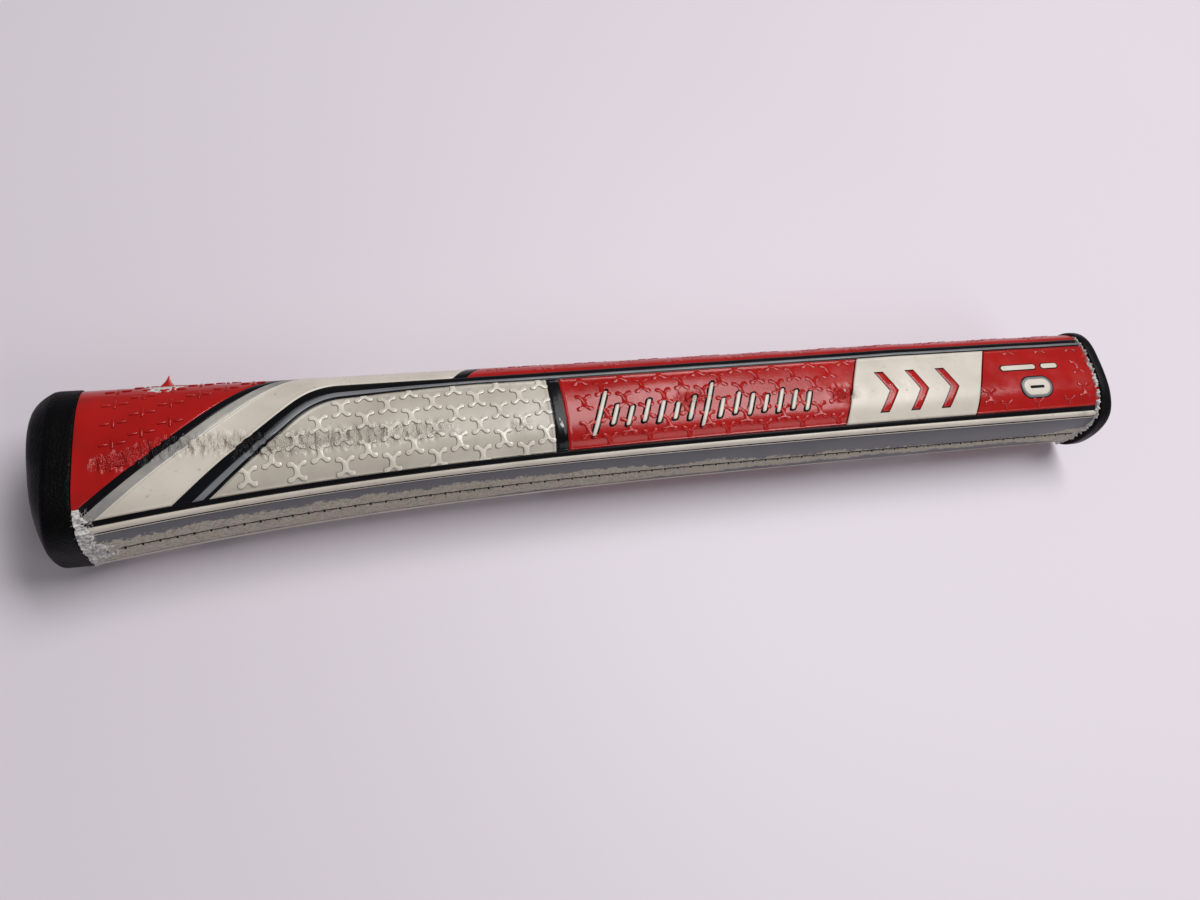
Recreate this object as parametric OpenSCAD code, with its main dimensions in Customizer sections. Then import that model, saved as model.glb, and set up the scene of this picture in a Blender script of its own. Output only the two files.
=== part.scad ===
// Pistol putter grip: a foam under-listing with a blind shaft bore, a felt-backed
// wrap stitched along the spine, a rubber mouth ring, a rubber butt cap, and a
// threaded port with a screw-out plug.
// +X runs along the bore toward the mouth, +Y is the flat thumb face, -Y is the
// stitched spine, and the origin is on the bore axis at the mouth.

/* [Length] */
// Whole grip, butt to mouth
grip_len = 266.7; // [250:0.1:280]
// Butt cap that shows past the wrap
cap_len = 9.7; // [6:0.1:14]
// Mouth ring that shows past the wrap
ring_len = 4; // [2:0.1:8]

/* [Section] */
// Half width at the mouth end of the wrap
half_w_mouth = 13.4; // [11:0.1:18]
// Half width at the butt end of the wrap
half_w_butt = 13.7; // [11:0.1:20]
// Bore axis to the flat thumb face
front_depth = 13.5; // [11:0.1:16]
// Bore axis to the spine at the mouth end
back_mouth = 14.6; // [11:0.1:18]
// Bore axis to the spine at the butt end
back_butt = 23.2; // [14:0.1:30]
// Widest point of the section, at the mouth end
wide_mouth = 1.6; // [-6:0.1:6]
// Widest point of the section, at the butt end
wide_butt = -9.5; // [-14:0.1:4]
// Part of the length, from the mouth, where the heel begins
heel_start = 0.23; // [0:0.01:0.9]
// How late the heel swells
heel_pow = 3.5; // [1:0.1:5]
// Roundness of the section, higher is squarer
squareness = 2.9; // [2:0.1:5]

/* [Layers] */
// Printed skin
skin_t = 0.9; // [0.5:0.05:2]
// Felt under the skin
felt_t = 0.7; // [0.4:0.05:2]
// Glue line between layers
glue_gap = 0.06; // [0.03:0.01:0.2]
// Shaft bore radius
bore_r = 7.37; // [6:0.01:9]
// Shaft bore depth
bore_len = 250; // [200:1:255]

/* [Spine] */
// Spacing of the stitches
stitch_pitch = 3.4; // [2:0.1:6]
// Thread radius
thread_r = 0.28; // [0.15:0.01:0.5]
// Length of one stitch across the seam
stitch_len = 1.7; // [1:0.1:4]
// Depth of the valley the stitches lie in
valley = 0.55; // [0.2:0.05:0.7]
// Half width of the valley's floor
valley_half = 0.95; // [0.6:0.05:2]
// Half width of the reinforcing tape under the seam
tape_half = 5; // [3:0.1:8]
// Tape thickness
tape_t = 0.35; // [0.2:0.05:0.8]

/* [Relief] */
// Seam to the inner edge of the raised bead
bead_in = 7.4; // [5:0.1:10]
// Seam to the outer edge of the raised bead
bead_out = 10; // [8:0.1:13]
// Bead height
bead_h = 0.35; // [0:0.05:1]
// Seam to the bottom edge of the side panel
panel_in = 11.5; // [10:0.1:15]
// Drop of the side panel's border groove
panel_drop = 0.2; // [0:0.05:0.5]

/* [Rubber ends] */
// How far the mouth ring stands proud of the wrap at its sides
ring_lip = 0.6; // [0:0.1:1]
// How far the mouth ring stands proud of the wrap at the spine
ring_heel = 1.6; // [0:0.1:2]
// How far the ring's end draws in at the spine
ring_draw_heel = 0.2; // [0.1:0.1:2]
// How far the ring's end draws in at the thumb face
ring_draw_front = 2.2; // [0.5:0.1:3]
// How far the butt cap stands proud of the wrap
cap_lip = 0.3; // [0:0.1:1]
// Depth of the cap's domed end at the heel
dome_heel = 3.2; // [2:0.1:7]
// Depth of the cap's domed end at the sides
dome_side = 4.6; // [3:0.1:6]
// Fullness of the dome, 1 is a plain cone
dome_full = 2.2; // [1:0.05:3]
// Mouth ring spigot radius
spigot_r = 9.4; // [8.5:0.1:10]
// Butt cap spigot radius
cap_spigot_r = 10.2; // [9.5:0.1:11]

/* [Butt port] */
// Port flange radius
flange_r = 9.2; // [8:0.1:10]
// Port body radius
port_r = 7.8; // [7:0.1:9]
// Thread engagement
shank_len = 8; // [5:0.5:12]
// Plug shank radius
shank_r = 4.8; // [4:0.1:6]
// Plug head radius
head_r = 6.6; // [6:0.1:7]
// Plug head thickness
head_t = 2.2; // [1:0.1:4]
// Gasket thickness
gasket_t = 1; // [0.5:0.1:2]
// Key socket, across flats
key_af = 6; // [4:0.5:8]
// Running clearance on the plug
run_gap = 0.07; // [0.02:0.01:0.1]

/* [Hidden] */
x_mouth = -ring_len;
x_butt = -grip_len + cap_len;
wrap_len = x_mouth - x_butt;
slit = 0.15;
ramp_end = valley_half + 0.75;
fixed_gap = 0.05;
tape_margin = 2.6;
felt_in = -skin_t - glue_gap;
core_in = felt_in - felt_t - glue_gap;
spigot_len = 5;
cap_spigot_len = 4.8;
face_x = -grip_len + 0.4;
flange_t = 1.3;
rim_w = 0.3;
seat_x = face_x + head_t + gasket_t + fixed_gap;
shank_x = seat_x + shank_len;
port_end_x = x_butt + cap_spigot_len;
around = 18;
stations = 26;
foam_col = [0.1, 0.1, 0.11];
red_col = [0.7, 0.03, 0.05];

// ---- Section curve: half of it, from the spine round to the thumb face ----

function lerp(a, b, t) = a + (b - a) * t;
function clamp01(t) = max(0, min(1, t));
function ease(t) = clamp01(t) * clamp01(t) * (3 - 2 * clamp01(t));
function butt_t(x) = (x_mouth - x) / wrap_len;
function heel_t(x) = clamp01((butt_t(x) - heel_start) / (1 - heel_start));
function half_w(x) = lerp(half_w_mouth, half_w_butt, butt_t(x));
function spine(x) = lerp(back_mouth, back_butt, pow(heel_t(x), heel_pow));
function wide_y(x) = lerp(wide_mouth, wide_butt, heel_t(x));
function sec_pt(x, f) =
    let(e = 2 / squareness, c = pow(abs(cos(f)), e), s = pow(sin(f), e))
    let(y0 = wide_y(x))
    [f < 90 ? y0 - (spine(x) + y0) * c : y0 + (front_depth - y0) * c, half_w(x) * s];
function sec_pts(x) = [for (i = [0:60]) sec_pt(x, i * 3)];
function by_arc(p, k) =
    [for (i = 0, s = 0; i < len(p);
          s = s + (i + 1 < len(p) ? norm(p[i + 1] - p[i]) : 0), i = i + 1) [s, p[i][k]]];

// Tables of y and z against distance round the section, and the half length
function curve(x) =
    let(p = sec_pts(x), ty = by_arc(p, 0), tz = by_arc(p, 1))
    [ty, tz, ty[len(ty) - 1][0]];
function on_curve(c, d) =
    let(a = abs(d), over = a > c[2], b = over ? 2 * c[2] - a : a)
    let(side = (d < 0 ? -1 : 1) * (over ? -1 : 1))
    [lookup(b, c[0]), side * lookup(b, c[1])];
function off_curve(c, d, h) =
    let(q = on_curve(c, d + 0.4) - on_curve(c, d - 0.4), n = q / norm(q))
    on_curve(c, d) + h * [-n[1], n[0]];

// Height of the skin above the plain section at distance d from the seam
function bead(d) = 1 - pow((d - (bead_in + bead_out) / 2) / ((bead_out - bead_in) / 2), 2);
function relief(d) =
    d < valley_half ? -valley :
    d < ramp_end ? -valley * (1 - ease((d - valley_half) / (ramp_end - valley_half))) :
    d >= bead_in && d <= bead_out ? bead_h * max(0, bead(d)) :
    d > panel_in + 0.3 && d < panel_in + 7 ? -panel_drop : 0;

// Distances sampled round half the section, seam first
function near_seam() = [slit, valley_half / 2, valley_half, valley_half + 0.25,
                        valley_half + 0.5, ramp_end, 4, bead_in, bead_in + 0.5,
                        (bead_in + bead_out) / 2, bead_out - 0.5, bead_out,
                        panel_in, panel_in + 0.35];
function half_d(c) =
    let(a = panel_in + 1.8)
    concat(near_seam(), [for (k = [0:around]) lerp(a, c[2], k / around)]);
function loop_d(c) = let(h = half_d(c), n = len(h)) concat(h, [for (i = [n - 2:-1:0]) -h[i]]);

// ---- Lofts ----

function at_x(x, p) = [x, p[0], p[1]];
function station_x(i, x0, x1) = lerp(x0, x1, pow(i / stations, 1.35));
function sheet_ring(x, c, out, in, rise) =
    let(d = loop_d(c), n = len(d))
    concat([for (v = d) at_x(x, off_curve(c, v, out + rise * relief(abs(v))))],
           [for (i = [n - 1:-1:0]) at_x(x, off_curve(c, d[i], in))]);

// Triangles joining rings of n points; each end is closed by the given faces
function side_faces(rings, n) =
    [for (r = [0:len(rings) - 2], i = [0:n - 1], half = [0, 1])
        let(a = r * n + i, b = r * n + (i + 1) % n)
        half == 0 ? [a, b, a + n] : [b, b + n, a + n]];
function flip(faces) = [for (f = faces) [f[2], f[1], f[0]]];
function lift(faces, by) = [for (f = faces) [f[0] + by, f[1] + by, f[2] + by]];
function sheet_cap(n) =
    [for (i = [0:n / 2 - 2], half = [0, 1])
        half == 0 ? [i, i + 1, n - 1 - i] : [i + 1, n - 2 - i, n - 1 - i]];
function rung_cap(n) =
    [for (i = [0:(n - 3) / 2], half = [0, 1])
        let(a = i, b = n - 1 - i)
        if (half == 0 && b - 1 > a + 1 || half == 1) half == 0 ? [a, a + 1, b] :
            (b - 1 > a + 1 ? [a + 1, b - 1, b] : [a, a + 1, b])];

module loft(rings, cap) {
    n = len(rings[0]);
    last = (len(rings) - 1) * n;
    polyhedron(points = [for (r = rings) each r],
               faces = concat(side_faces(rings, n), flip(cap), lift(cap, last)));
}

module along_x(x0, x1, r, sides = 72) {
    translate([x0, 0, 0])
        rotate([0, 90, 0])
            cylinder(r = r, h = x1 - x0, $fn = sides);
}

// ---- Pieces ----

// The foam steps in under the seam tape
function core_h(d) = abs(d) < tape_half + tape_margin ? core_in - tape_t - glue_gap : core_in;

module foam_core() {
    x0 = x_butt + 0.3;
    x1 = x_mouth - 0.3;
    rings = [for (i = [0:stations])
        let(x = station_x(i, x0, x1), c = curve(x))
        [for (d = loop_d(c)) at_x(x, off_curve(c, d, core_h(d)))]];
    color(foam_col)
    difference() {
        loft(rings, rung_cap(len(rings[0])));
        along_x(-bore_len, 1, bore_r);
        along_x(x_mouth - spigot_len - 2 * fixed_gap, 1, spigot_r + fixed_gap);
        along_x(x0 - 1, x_butt + cap_spigot_len + 2 * fixed_gap, cap_spigot_r + fixed_gap);
    }
}

module seam_tape() {
    x0 = x_butt + 1;
    x1 = x_mouth - 1;
    d = [for (k = [-4:4]) tape_half * k / 4];
    top = core_in - glue_gap / 2;
    rings = [for (i = [0:stations])
        let(x = station_x(i, x0, x1), c = curve(x))
        concat([for (v = d) at_x(x, off_curve(c, v, top))],
               [for (k = [8:-1:0]) at_x(x, off_curve(c, d[k], top - tape_t))])];
    color([0.75, 0.73, 0.68])
        loft(rings, sheet_cap(18));
}

module felt_backing() {
    rings = [for (i = [0:stations])
        let(x = station_x(i, x_butt + 0.1, x_mouth - 0.1), c = curve(x))
        sheet_ring(x, c, felt_in, felt_in - felt_t, 0)];
    color([0.8, 0.78, 0.74])
        loft(rings, sheet_cap(len(rings[0])));
}

module wrap_skin() {
    rings = [for (i = [0:stations])
        let(x = station_x(i, x_butt + 0.05, x_mouth - 0.05), c = curve(x))
        sheet_ring(x, c, 0, -skin_t, 1)];
    color(red_col)
        loft(rings, sheet_cap(len(rings[0])));
}

// Stitches lie across the valley, joined by the thread that runs in the slit
module seam_thread() {
    x0 = x_butt + 4;
    x1 = x_mouth - 4;
    count = floor((x1 - x0) / stitch_pitch);
    half = slit - 0.06;
    rings = [for (i = [0:stations])
        let(x = station_x(i, x0, x0 + count * stitch_pitch), y = -spine(x) + valley - thread_r)
        [[x, y - 0.1, -half], [x, y - 0.1, half], [x, y + 0.5, half], [x, y + 0.5, -half]]];
    color([0.3, 0.3, 0.32]) {
        loft(rings, [[0, 1, 2], [0, 2, 3]]);
        for (i = [0:count]) {
            x = x0 + i * stitch_pitch;
            translate([x, -spine(x) + valley - thread_r - 0.06, -stitch_len / 2])
                cylinder(r = thread_r, h = stitch_len, $fn = 24);
        }
    }
}

// The ring's stand-off and how far its end draws in, at distance d from the seam
function ring_out(d) = lerp(ring_heel, ring_lip, ease(abs(d) / 14));
function ring_draw(d) = lerp(ring_draw_heel, ring_draw_front, ease((abs(d) - 7) / 14));

module mouth_ring() {
    // Distance along the ring, and the parts of its stand-off and its draw-in there
    steps = [[0, 0.25, 0], [0.08, 0.8, 0], [0.15, 1, 0], [0.5, 1, 0], [0.72, 1, 0.12],
             [0.88, 0.9, 0.4], [0.97, 0.8, 0.75], [1, 0.7, 1]];
    c = curve(x_mouth);
    rings = [for (s = steps)
        [for (d = loop_d(c))
            let(h = s[1] * ring_out(d) - s[2] * ring_draw(d))
            at_x(x_mouth + s[0] * ring_len, off_curve(c, d, h))]];
    color([0.07, 0.07, 0.08])
    difference() {
        union() {
            loft(rings, rung_cap(len(rings[0])));
            along_x(x_mouth - spigot_len, x_mouth + 0.5, spigot_r);
        }
        along_x(x_mouth - spigot_len - 1, 1, bore_r);
    }
}

// A ring of the cap's dome, a part t of the way from the rim in to the port
function dome_len(d) = lerp(dome_heel, dome_side, ease(abs(d) / 18));
function dome_ring(c, t) =
    [for (d = loop_d(c))
        let(p = off_curve(c, d, cap_lip), q = p * (flange_r + rim_w) / norm(p))
        at_x(x_butt - cap_len + dome_len(d) * pow(1 - t, dome_full), lerp(p, q, t))];
function rim_ring(c, back, h) =
    [for (d = loop_d(c)) at_x(x_butt - cap_len + dome_len(d) + back, off_curve(c, d, h))];

module butt_cap() {
    c = curve(x_butt);
    collar = [for (s = [[0, 0], [0.35, cap_lip], [2, cap_lip]])
        [for (d = loop_d(c)) at_x(x_butt - s[0], off_curve(c, d, s[1]))]];
    rim = [rim_ring(c, 0.9, cap_lip), rim_ring(c, 0.1, cap_lip - 0.1)];
    dome = [for (t = [0.05, 0.12, 0.22, 0.36, 0.54, 0.76, 1]) dome_ring(c, t)];
    color([0.09, 0.09, 0.1])
    difference() {
        union() {
            loft([for (r = concat(collar, rim, dome)) [for (i = [len(r) - 1:-1:0]) r[i]]],
                 rung_cap(len(loop_d(c))));
            along_x(x_butt - 0.5, x_butt + cap_spigot_len, cap_spigot_r);
        }
        along_x(-grip_len - 1, face_x + flange_t + fixed_gap, flange_r + fixed_gap);
        along_x(-grip_len - 1, x_butt + cap_spigot_len + 1, port_r + fixed_gap);
    }
}

module port_insert() {
    color([0.16, 0.16, 0.17])
    difference() {
        union() {
            along_x(face_x, face_x + flange_t, flange_r);
            along_x(face_x, port_end_x - 0.1, port_r);
        }
        along_x(face_x - 1, seat_x, head_r + 0.3);
        along_x(face_x, shank_x + 0.8, shank_r + run_gap);
    }
}

module plug_gasket() {
    color([0.04, 0.04, 0.04])
    difference() {
        along_x(seat_x - gasket_t - 0.01, seat_x - 0.01, head_r);
        along_x(seat_x - 5, seat_x + 1, shank_r + run_gap);
    }
}

// Head, shank, rounded key socket
module port_plug() {
    head_end = seat_x - gasket_t - 0.04;
    color([0.12, 0.12, 0.13])
    difference() {
        union() {
            along_x(head_end - head_t, head_end, head_r);
            along_x(head_end - 0.5, shank_x, shank_r);
        }
        translate([head_end - head_t - 1, 0, 0])
            rotate([0, 90, 0])
                cylinder(r = key_af / 2 / cos(30), h = 5.5, $fn = 6);
    }
}

foam_core();
seam_tape();
felt_backing();
wrap_skin();
seam_thread();
mouth_ring();
butt_cap();
port_insert();
plug_gasket();
port_plug();
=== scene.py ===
"""Looks of a pistol putter grip: printed wrap, stitched spine, rubber ends and port."""
import bmesh
import bpy
import math
import numpy as np
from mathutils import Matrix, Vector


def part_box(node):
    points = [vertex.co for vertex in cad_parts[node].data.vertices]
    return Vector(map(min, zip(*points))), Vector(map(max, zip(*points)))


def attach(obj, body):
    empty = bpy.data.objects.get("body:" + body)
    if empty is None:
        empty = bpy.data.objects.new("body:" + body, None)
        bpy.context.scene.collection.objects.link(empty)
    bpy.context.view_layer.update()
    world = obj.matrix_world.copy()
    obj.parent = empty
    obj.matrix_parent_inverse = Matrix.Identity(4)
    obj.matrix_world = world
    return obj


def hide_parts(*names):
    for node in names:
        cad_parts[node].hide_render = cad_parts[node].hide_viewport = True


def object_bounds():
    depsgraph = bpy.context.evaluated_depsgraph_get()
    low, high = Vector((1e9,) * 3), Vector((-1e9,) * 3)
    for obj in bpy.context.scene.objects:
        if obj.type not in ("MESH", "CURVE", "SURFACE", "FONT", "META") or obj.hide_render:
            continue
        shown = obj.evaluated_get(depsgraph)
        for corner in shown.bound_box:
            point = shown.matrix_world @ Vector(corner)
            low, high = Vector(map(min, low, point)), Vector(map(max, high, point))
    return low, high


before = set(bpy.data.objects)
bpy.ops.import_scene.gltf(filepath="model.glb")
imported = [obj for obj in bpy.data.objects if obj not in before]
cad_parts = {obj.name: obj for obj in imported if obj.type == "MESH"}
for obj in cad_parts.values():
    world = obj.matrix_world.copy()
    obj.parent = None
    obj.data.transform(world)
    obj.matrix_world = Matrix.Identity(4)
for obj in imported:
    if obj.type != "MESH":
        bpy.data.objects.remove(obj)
CAD_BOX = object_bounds()
MM = 0.001

# ---- Places, in millimetres. x runs along the bore, d round the wrap from the seam ----

WRAP_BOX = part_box("wrap_skin")
X_BUTT = WRAP_BOX[0].x / MM
X_MOUTH = WRAP_BOX[1].x / MM
X_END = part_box("butt_cap")[0].x / MM
X_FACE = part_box("mouth_ring")[1].x / MM
FLOOR_Z = CAD_BOX[0].z

# Section, as the CAD has it
HALF_W_MOUTH, HALF_W_BUTT = 13.4, 13.7
FRONT_DEPTH = 13.5
BACK_MOUTH, BACK_BUTT = 14.6, 23.2
WIDE_MOUTH, WIDE_BUTT = 1.6, -9.5
HEEL_START, HEEL_POW = 0.23, 3.5
SQUARENESS = 2.9
SKIN_T = 0.85

# Printed lines, as distances from the seam
# Out to SLIT_EDGE from the seam, the slit is coloured with the dark thread finish as painted shade.
SLIT, SLIT_EDGE = 0.12, 0.38
GREY_END = 7.6
THIN_END = 7.85
GROOVE_END = 8.25
BEAD_END = 9.9
PANEL_START = 11.3
TRIM_FROM_FRONT = 14.0
DIAGONAL_1 = (-253.5, 13.7, 0.72)
DIAGONAL_2 = (-238.7, PANEL_START, 0.80)
DIVIDER = (-178.0, 33.7, 1.33)
DIVIDER_W = 3.4
BAND_1_W = 2.3
WORN_STRIP_W = 3.0
RIDGE_W = 0.45
# The trim's lower lines below its top line, scaled up where the trim runs down the diagonal
TRIM_W = (3.9, 3.2, 2.1)
TRIM_SCALE, TRIM_WIDER_FROM, TRIM_WIDER_OVER = (0.7, 1.5), -172, 60
TRIM_BEND = 4.5
CROSS_BAR = (-156.5, -153.4)
STITCH_PITCH = 3.4
STITCH_START = X_BUTT + 4
STITCH_REACH, STITCH_R, INNER_THREAD_R = 0.66, 0.28, 0.13


def lerp(a, b, t):
    return a + (b - a) * t


def ease(t):
    t = np.clip(t, 0, 1)
    return t * t * (3 - 2 * t)


def bell(v, mid, width):
    return np.exp(-(((v - mid) / width) ** 2))


def soft_min(a, b, k):
    h = np.clip(0.5 + 0.5 * (b - a) / k, 0, 1)
    return lerp(b, a, h) - k * h * (1 - h)


def noise(u, v, seed):
    """Smooth value noise from -1 to 1."""
    table = np.random.default_rng(seed).random((64, 64)) * 2 - 1
    i, j = np.floor(u).astype(int), np.floor(v).astype(int)
    s, t = ease(u - i), ease(v - j)
    pick = lambda a, b: table[a % 64, b % 64]
    low = lerp(pick(i, j), pick(i + 1, j), s)
    high = lerp(pick(i, j + 1), pick(i + 1, j + 1), s)
    return lerp(low, high, t)


# ---- The wrap's surface: a grid over x and d, read by interpolation ----

def section(x):
    """Distance round half the section, with y and z there."""
    u = (X_MOUTH - x) / (X_MOUTH - X_BUTT)
    t = np.clip((u - HEEL_START) / (1 - HEEL_START), 0, 1)
    half = lerp(HALF_W_MOUTH, HALF_W_BUTT, u)
    back = lerp(BACK_MOUTH, BACK_BUTT, t ** HEEL_POW)
    wide = lerp(WIDE_MOUTH, WIDE_BUTT, t)
    f = np.linspace(0, np.pi, 181)
    c, s = np.abs(np.cos(f)) ** (2 / SQUARENESS), np.abs(np.sin(f)) ** (2 / SQUARENESS)
    y = np.where(f < np.pi / 2, wide - (back + wide) * c, wide + (FRONT_DEPTH - wide) * c)
    z = half * s
    return np.r_[0, np.cumsum(np.hypot(np.diff(y), np.diff(z)))], y, z


def fold(d, top):
    """Distances past the front centre come back down the other side."""
    over = np.abs(d) > top
    near = np.where(over, 2 * top - np.abs(d), np.abs(d))
    side = np.where(d < 0, -1.0, 1.0) * np.where(over, -1.0, 1.0)
    return near, side


X_STEP, D_STEP = 0.5, 0.2
GRID_X = np.arange(X_BUTT - 3, X_MOUTH + 3, X_STEP)
GRID_D = np.arange(-60, 60 + D_STEP, D_STEP)
GRID_P = np.zeros((len(GRID_X), len(GRID_D), 3))
GRID_TOP = np.zeros(len(GRID_X))
for gi, gx in enumerate(GRID_X):
    arc, sec_y, sec_z = section(np.clip(gx, X_BUTT, X_MOUTH))
    GRID_TOP[gi] = arc[-1]
    near, side = fold(GRID_D, arc[-1])
    GRID_P[gi, :, 0] = gx
    GRID_P[gi, :, 1] = np.interp(near, arc, sec_y)
    GRID_P[gi, :, 2] = np.interp(near, arc, sec_z) * side
GRID_N = np.cross(np.gradient(GRID_P, axis=0), np.gradient(GRID_P, axis=1))
GRID_N /= np.linalg.norm(GRID_N, axis=2, keepdims=True)


def front(x):
    """Distance from the seam to the front centre at x."""
    return np.interp(x, GRID_X, GRID_TOP)


def read_grid(grid, x, d):
    fi = np.clip((x - GRID_X[0]) / X_STEP, 0, len(GRID_X) - 1.001)
    fj = np.clip((d - GRID_D[0]) / D_STEP, 0, len(GRID_D) - 1.001)
    i, j = fi.astype(int), fj.astype(int)
    s, t = (fi - i)[..., None], (fj - j)[..., None]
    low = lerp(grid[i, j], grid[i + 1, j], s)
    return lerp(low, lerp(grid[i, j + 1], grid[i + 1, j + 1], s), t)


def place(x, d, h):
    """Points h above the plain wrap."""
    x, d, h = (np.asarray(a, float) for a in np.broadcast_arrays(x, d, h))
    return read_grid(GRID_P, x, d) + read_grid(GRID_N, x, d) * h[..., None]


# ---- Relief and wear ----

# Where hands and bags have crumpled the skin: x, d, length, width, strength
SCUFFS = (
    (-248, 23.2, 6.5, 2.0, 1.0), (-240, 24.6, 5.5, 2.2, 1.0), (-229, 23.5, 7, 2.6, 0.9),
    (-217, 20.8, 8, 2.5, 1.0), (-203, 20.6, 9, 2.4, 1.0), (-189, 19.8, 9, 2.2, 1.0),
    (-164, 18.5, 4, 1.8, 0.5), (-122, 21.5, 5, 2.6, 0.6), (-81, 19.5, 4.5, 2.4, 0.8),
    (-64, 21, 7, 1.6, 0.3),
)


def scuff(x, d):
    a = np.abs(d)
    total = sum(k * bell(x, sx, lx) * bell(a, sd, ld) for sx, sd, lx, ld, k in SCUFFS)
    return ease((total - 0.15) / 0.6) * np.where(d < 0, 0.45, 1.0)


def worn_width(x, d):
    """How far from the seam the grey print is rubbed through to the cream."""
    along = ([-257, -245, -225, -205, -180, -150, -125, -100, -75, -50, -25, -12, -4],
             [6.0, 4.6, 4.5, 4.7, 4.2, 3.9, 3.0, 2.0, 1.2, 0.8, 0.8, 2.2, 4.2])
    width = np.interp(x, *along)
    return np.where(d < 0, width + 2.2, width)


def terrain(x, d):
    """Height of the skin over the plain section, without the grooves between prints."""
    a = np.abs(d)
    gap = np.abs((x - STITCH_START + STITCH_PITCH / 2) % STITCH_PITCH - STITCH_PITCH / 2)
    lips = -0.6 * bell(a, 0, 0.38) + 0.06 * bell(a, 1.0, 0.5)
    pulled = -0.4 * bell(gap, 0, 0.45) * bell(a, 0, 0.6)
    fuzz = 0.05 * noise(x / 0.55, d / 0.5, 3) * ease((worn_width(x, d) - a + 1) / 2)
    mid = (GROOVE_END + BEAD_END) / 2
    bead = 0.3 * np.clip(1 - ((a - mid) / (BEAD_END - mid)) ** 2, 0, 1)
    ridges = np.tanh(3.2 * noise((x + 0.3 * a) / 0.85, d / 2.1, 11))
    small = noise(x / 0.6, d / 1.1, 12)
    crumple = scuff(x, d) * (0.34 * ridges + 0.2 * small)
    slack = 0.05 * noise(x / 9, d / 7, 5)
    return lips + pulled + fuzz + bead + crumple + slack * ease((a - 11) / 4)


def wear_values(x, d):
    """Per point: rubbed margin in mm, crumple, and grime toward the ends."""
    x, d = np.broadcast_arrays(x, d)
    grime = np.maximum(bell(x, X_MOUTH, 5), 0.8 * bell(x, X_BUTT, 4))
    return np.stack([worn_width(x, d) - np.abs(d), scuff(x, d), grime], axis=-1)


# ---- Materials ----

class Shader:
    """A material under construction: each call adds a node and returns its output socket."""

    def __init__(self, name):
        self.material = bpy.data.materials.new(name)
        self.material.use_nodes = True
        self.tree = self.material.node_tree
        self.coords = self.node("ShaderNodeTexCoord", {})["Object"]

    def node(self, kind, inputs, **props):
        n = self.tree.nodes.new(kind)
        for key, value in props.items():
            setattr(n, key, value)
        for key, value in inputs.items():
            if isinstance(value, bpy.types.NodeSocket):
                self.tree.links.new(value, n.inputs[key])
            else:
                n.inputs[key].default_value = value
        return n.outputs

    def noise(self, scale, detail=3.0, rough=0.55, stretch=None):
        coords = self.coords
        if stretch:
            coords = self.node("ShaderNodeMapping", {"Vector": coords, "Scale": stretch})["Vector"]
        inputs = {"Vector": coords, "Scale": scale, "Detail": detail, "Roughness": rough}
        return self.node("ShaderNodeTexNoise", inputs)["Fac"]

    def cells(self, scale):
        return self.node("ShaderNodeTexVoronoi", {"Vector": self.coords, "Scale": scale})["Distance"]

    def wear(self):
        """The X, Y and Z of the wear values kept on the points."""
        stored = self.node("ShaderNodeAttribute", {}, attribute_name="wear")["Vector"]
        return self.node("ShaderNodeSeparateXYZ", {"Vector": stored})

    def ramp(self, value, low, high, to=(0.0, 1.0)):
        inputs = {"Value": value, "From Min": low, "From Max": high, "To Min": to[0], "To Max": to[1]}
        return self.node("ShaderNodeMapRange", inputs)["Result"]

    def math(self, op, a, b):
        return self.node("ShaderNodeMath", {0: a, 1: b}, operation=op)[0]

    def times(self, a, b):
        return self.math("MULTIPLY", a, b)

    def mix(self, fac, a, b):
        """Colour a where fac is 0, b where it is 1; each is a socket or three numbers."""
        a, b = (c if isinstance(c, bpy.types.NodeSocket) else (*c, 1.0) for c in (a, b))
        return self.node("ShaderNodeMix", {0: fac, 6: a, 7: b}, data_type="RGBA")[2]

    def bump(self, height, strength, distance, normal=None):
        inputs = {"Height": height, "Strength": strength, "Distance": distance}
        if normal:
            inputs["Normal"] = normal
        return self.node("ShaderNodeBump", inputs)["Normal"]

    def finish(self, color, rough, normal=None, shine=None):
        surface = self.tree.nodes["Principled BSDF"].inputs
        self.tree.links.new(color, surface["Base Color"])
        self.tree.links.new(rough, surface["Roughness"])
        if normal:
            self.tree.links.new(normal, surface["Normal"])
        if shine is not None:
            surface["Specular IOR Level"].default_value = shine
        return self.material


def printed(name, dark, light, gloss=(0.2, 0.34), shine=0.35, grime=(0.14, 0.12, 0.09), dirt=0.5):
    """Printed polyurethane: mottled ink, fine pores, crumpled where the skin is scuffed, with painted
    shade in the crumple's creases.
    """
    s = Shader(name)
    wear = s.wear()
    scuffed, ends = wear["Y"], wear["Z"]
    ink = s.mix(s.ramp(s.noise(90), 0.3, 0.7), dark, light)
    specks = s.ramp(s.noise(900, 2.0), 0.62, 0.74)
    patches = s.ramp(s.noise(160, 4.0), 0.5, 0.68)
    creases = s.noise(620, 4.0, 0.68, stretch=(1.0, 0.45, 0.45))
    # Painted shade: where the skin is crumpled, the low parts of the creases are darkened toward the grime
    # colour, together with real grime there.
    rubbed = s.times(scuffed, s.ramp(creases, 0.38, 0.5, (1, 0)))
    stain_and_crease_shade = s.math("MAXIMUM", s.times(specks, patches), s.times(ends, patches))
    stain_and_crease_shade = s.math("MAXIMUM", stain_and_crease_shade, s.times(rubbed, 0.42))
    color = s.mix(s.times(stain_and_crease_shade, dirt), ink, grime)
    normal = s.bump(creases, scuffed, 0.0015)
    normal = s.bump(s.noise(240, 2.0), 0.35, 0.0001, normal)
    normal = s.bump(s.noise(2600, 2.0), 0.25, 0.00004, normal)
    rough = s.math("ADD", s.ramp(s.noise(200), 0.35, 0.7, gloss), s.times(scuffed, -0.04))
    return s.finish(color, rough, normal, shine)


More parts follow.
